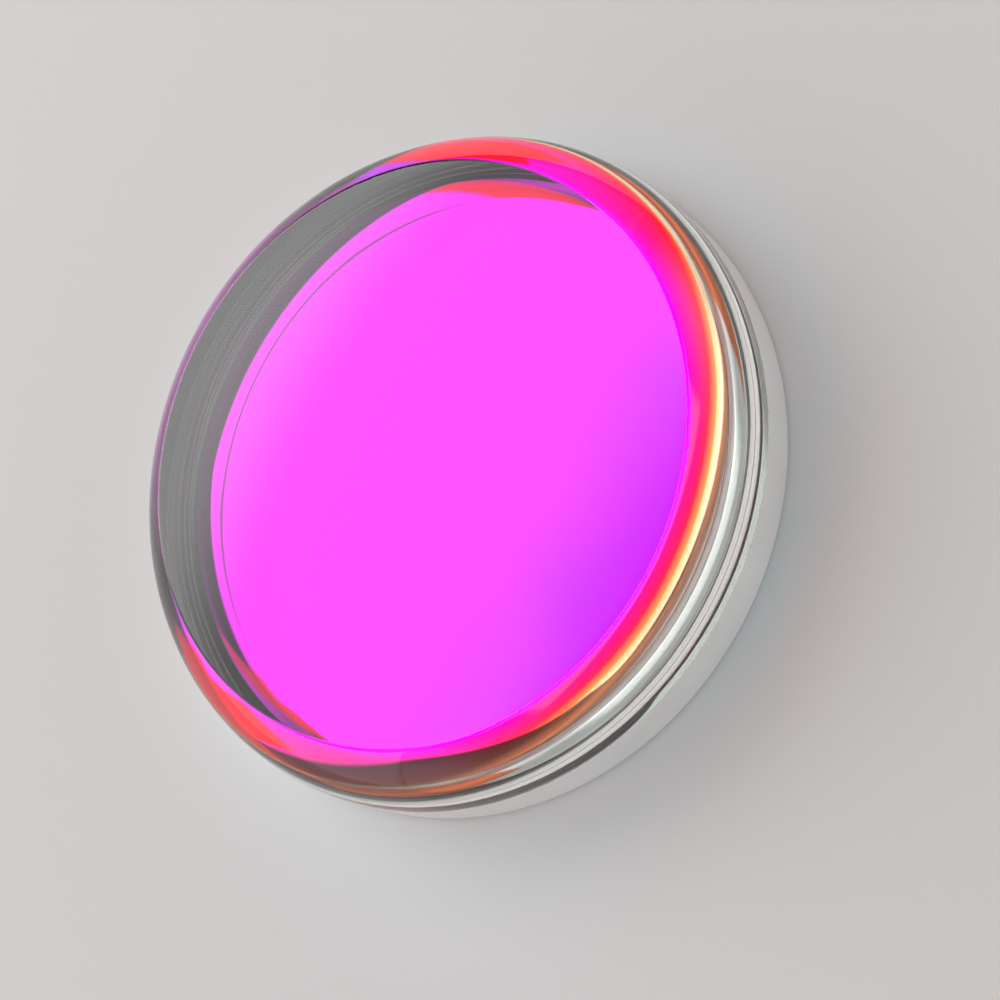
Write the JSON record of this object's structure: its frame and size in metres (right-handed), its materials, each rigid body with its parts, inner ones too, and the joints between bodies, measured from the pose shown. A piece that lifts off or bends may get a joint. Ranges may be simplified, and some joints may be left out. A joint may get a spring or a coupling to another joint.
{
  "type": "watch crystal",
  "caption": "Thick domed watch crystal with a ground edge, a broad polished shoulder and a flat underside that carries a magenta anti-reflection coating.",
  "frame": {"origin": "Centre of the flat underside, on the crystal's axis", "axes": "+Z leaves through the crown along the axis of symmetry; X and Y lie in the plane of the underside"},
  "size_m": [0.0315, 0.0314, 0.0061],
  "materials": {
    "sapphire": "clear synthetic sapphire, polished on the crown, shoulder and underside and fine-ground on the straight edge",
    "high_index_film": "hard oxide film with a magenta reflection",
    "low_index_film": "clear silica film with a violet-magenta reflection"
  },
  "bodies": {
    "root": {"sapphire_crystal": "sapphire", "high_index_layer_1": "high_index_film", "low_index_layer_1": "low_index_film", "high_index_layer_2": "high_index_film", "low_index_layer_2": "low_index_film"}
  },
  "joints": []
}
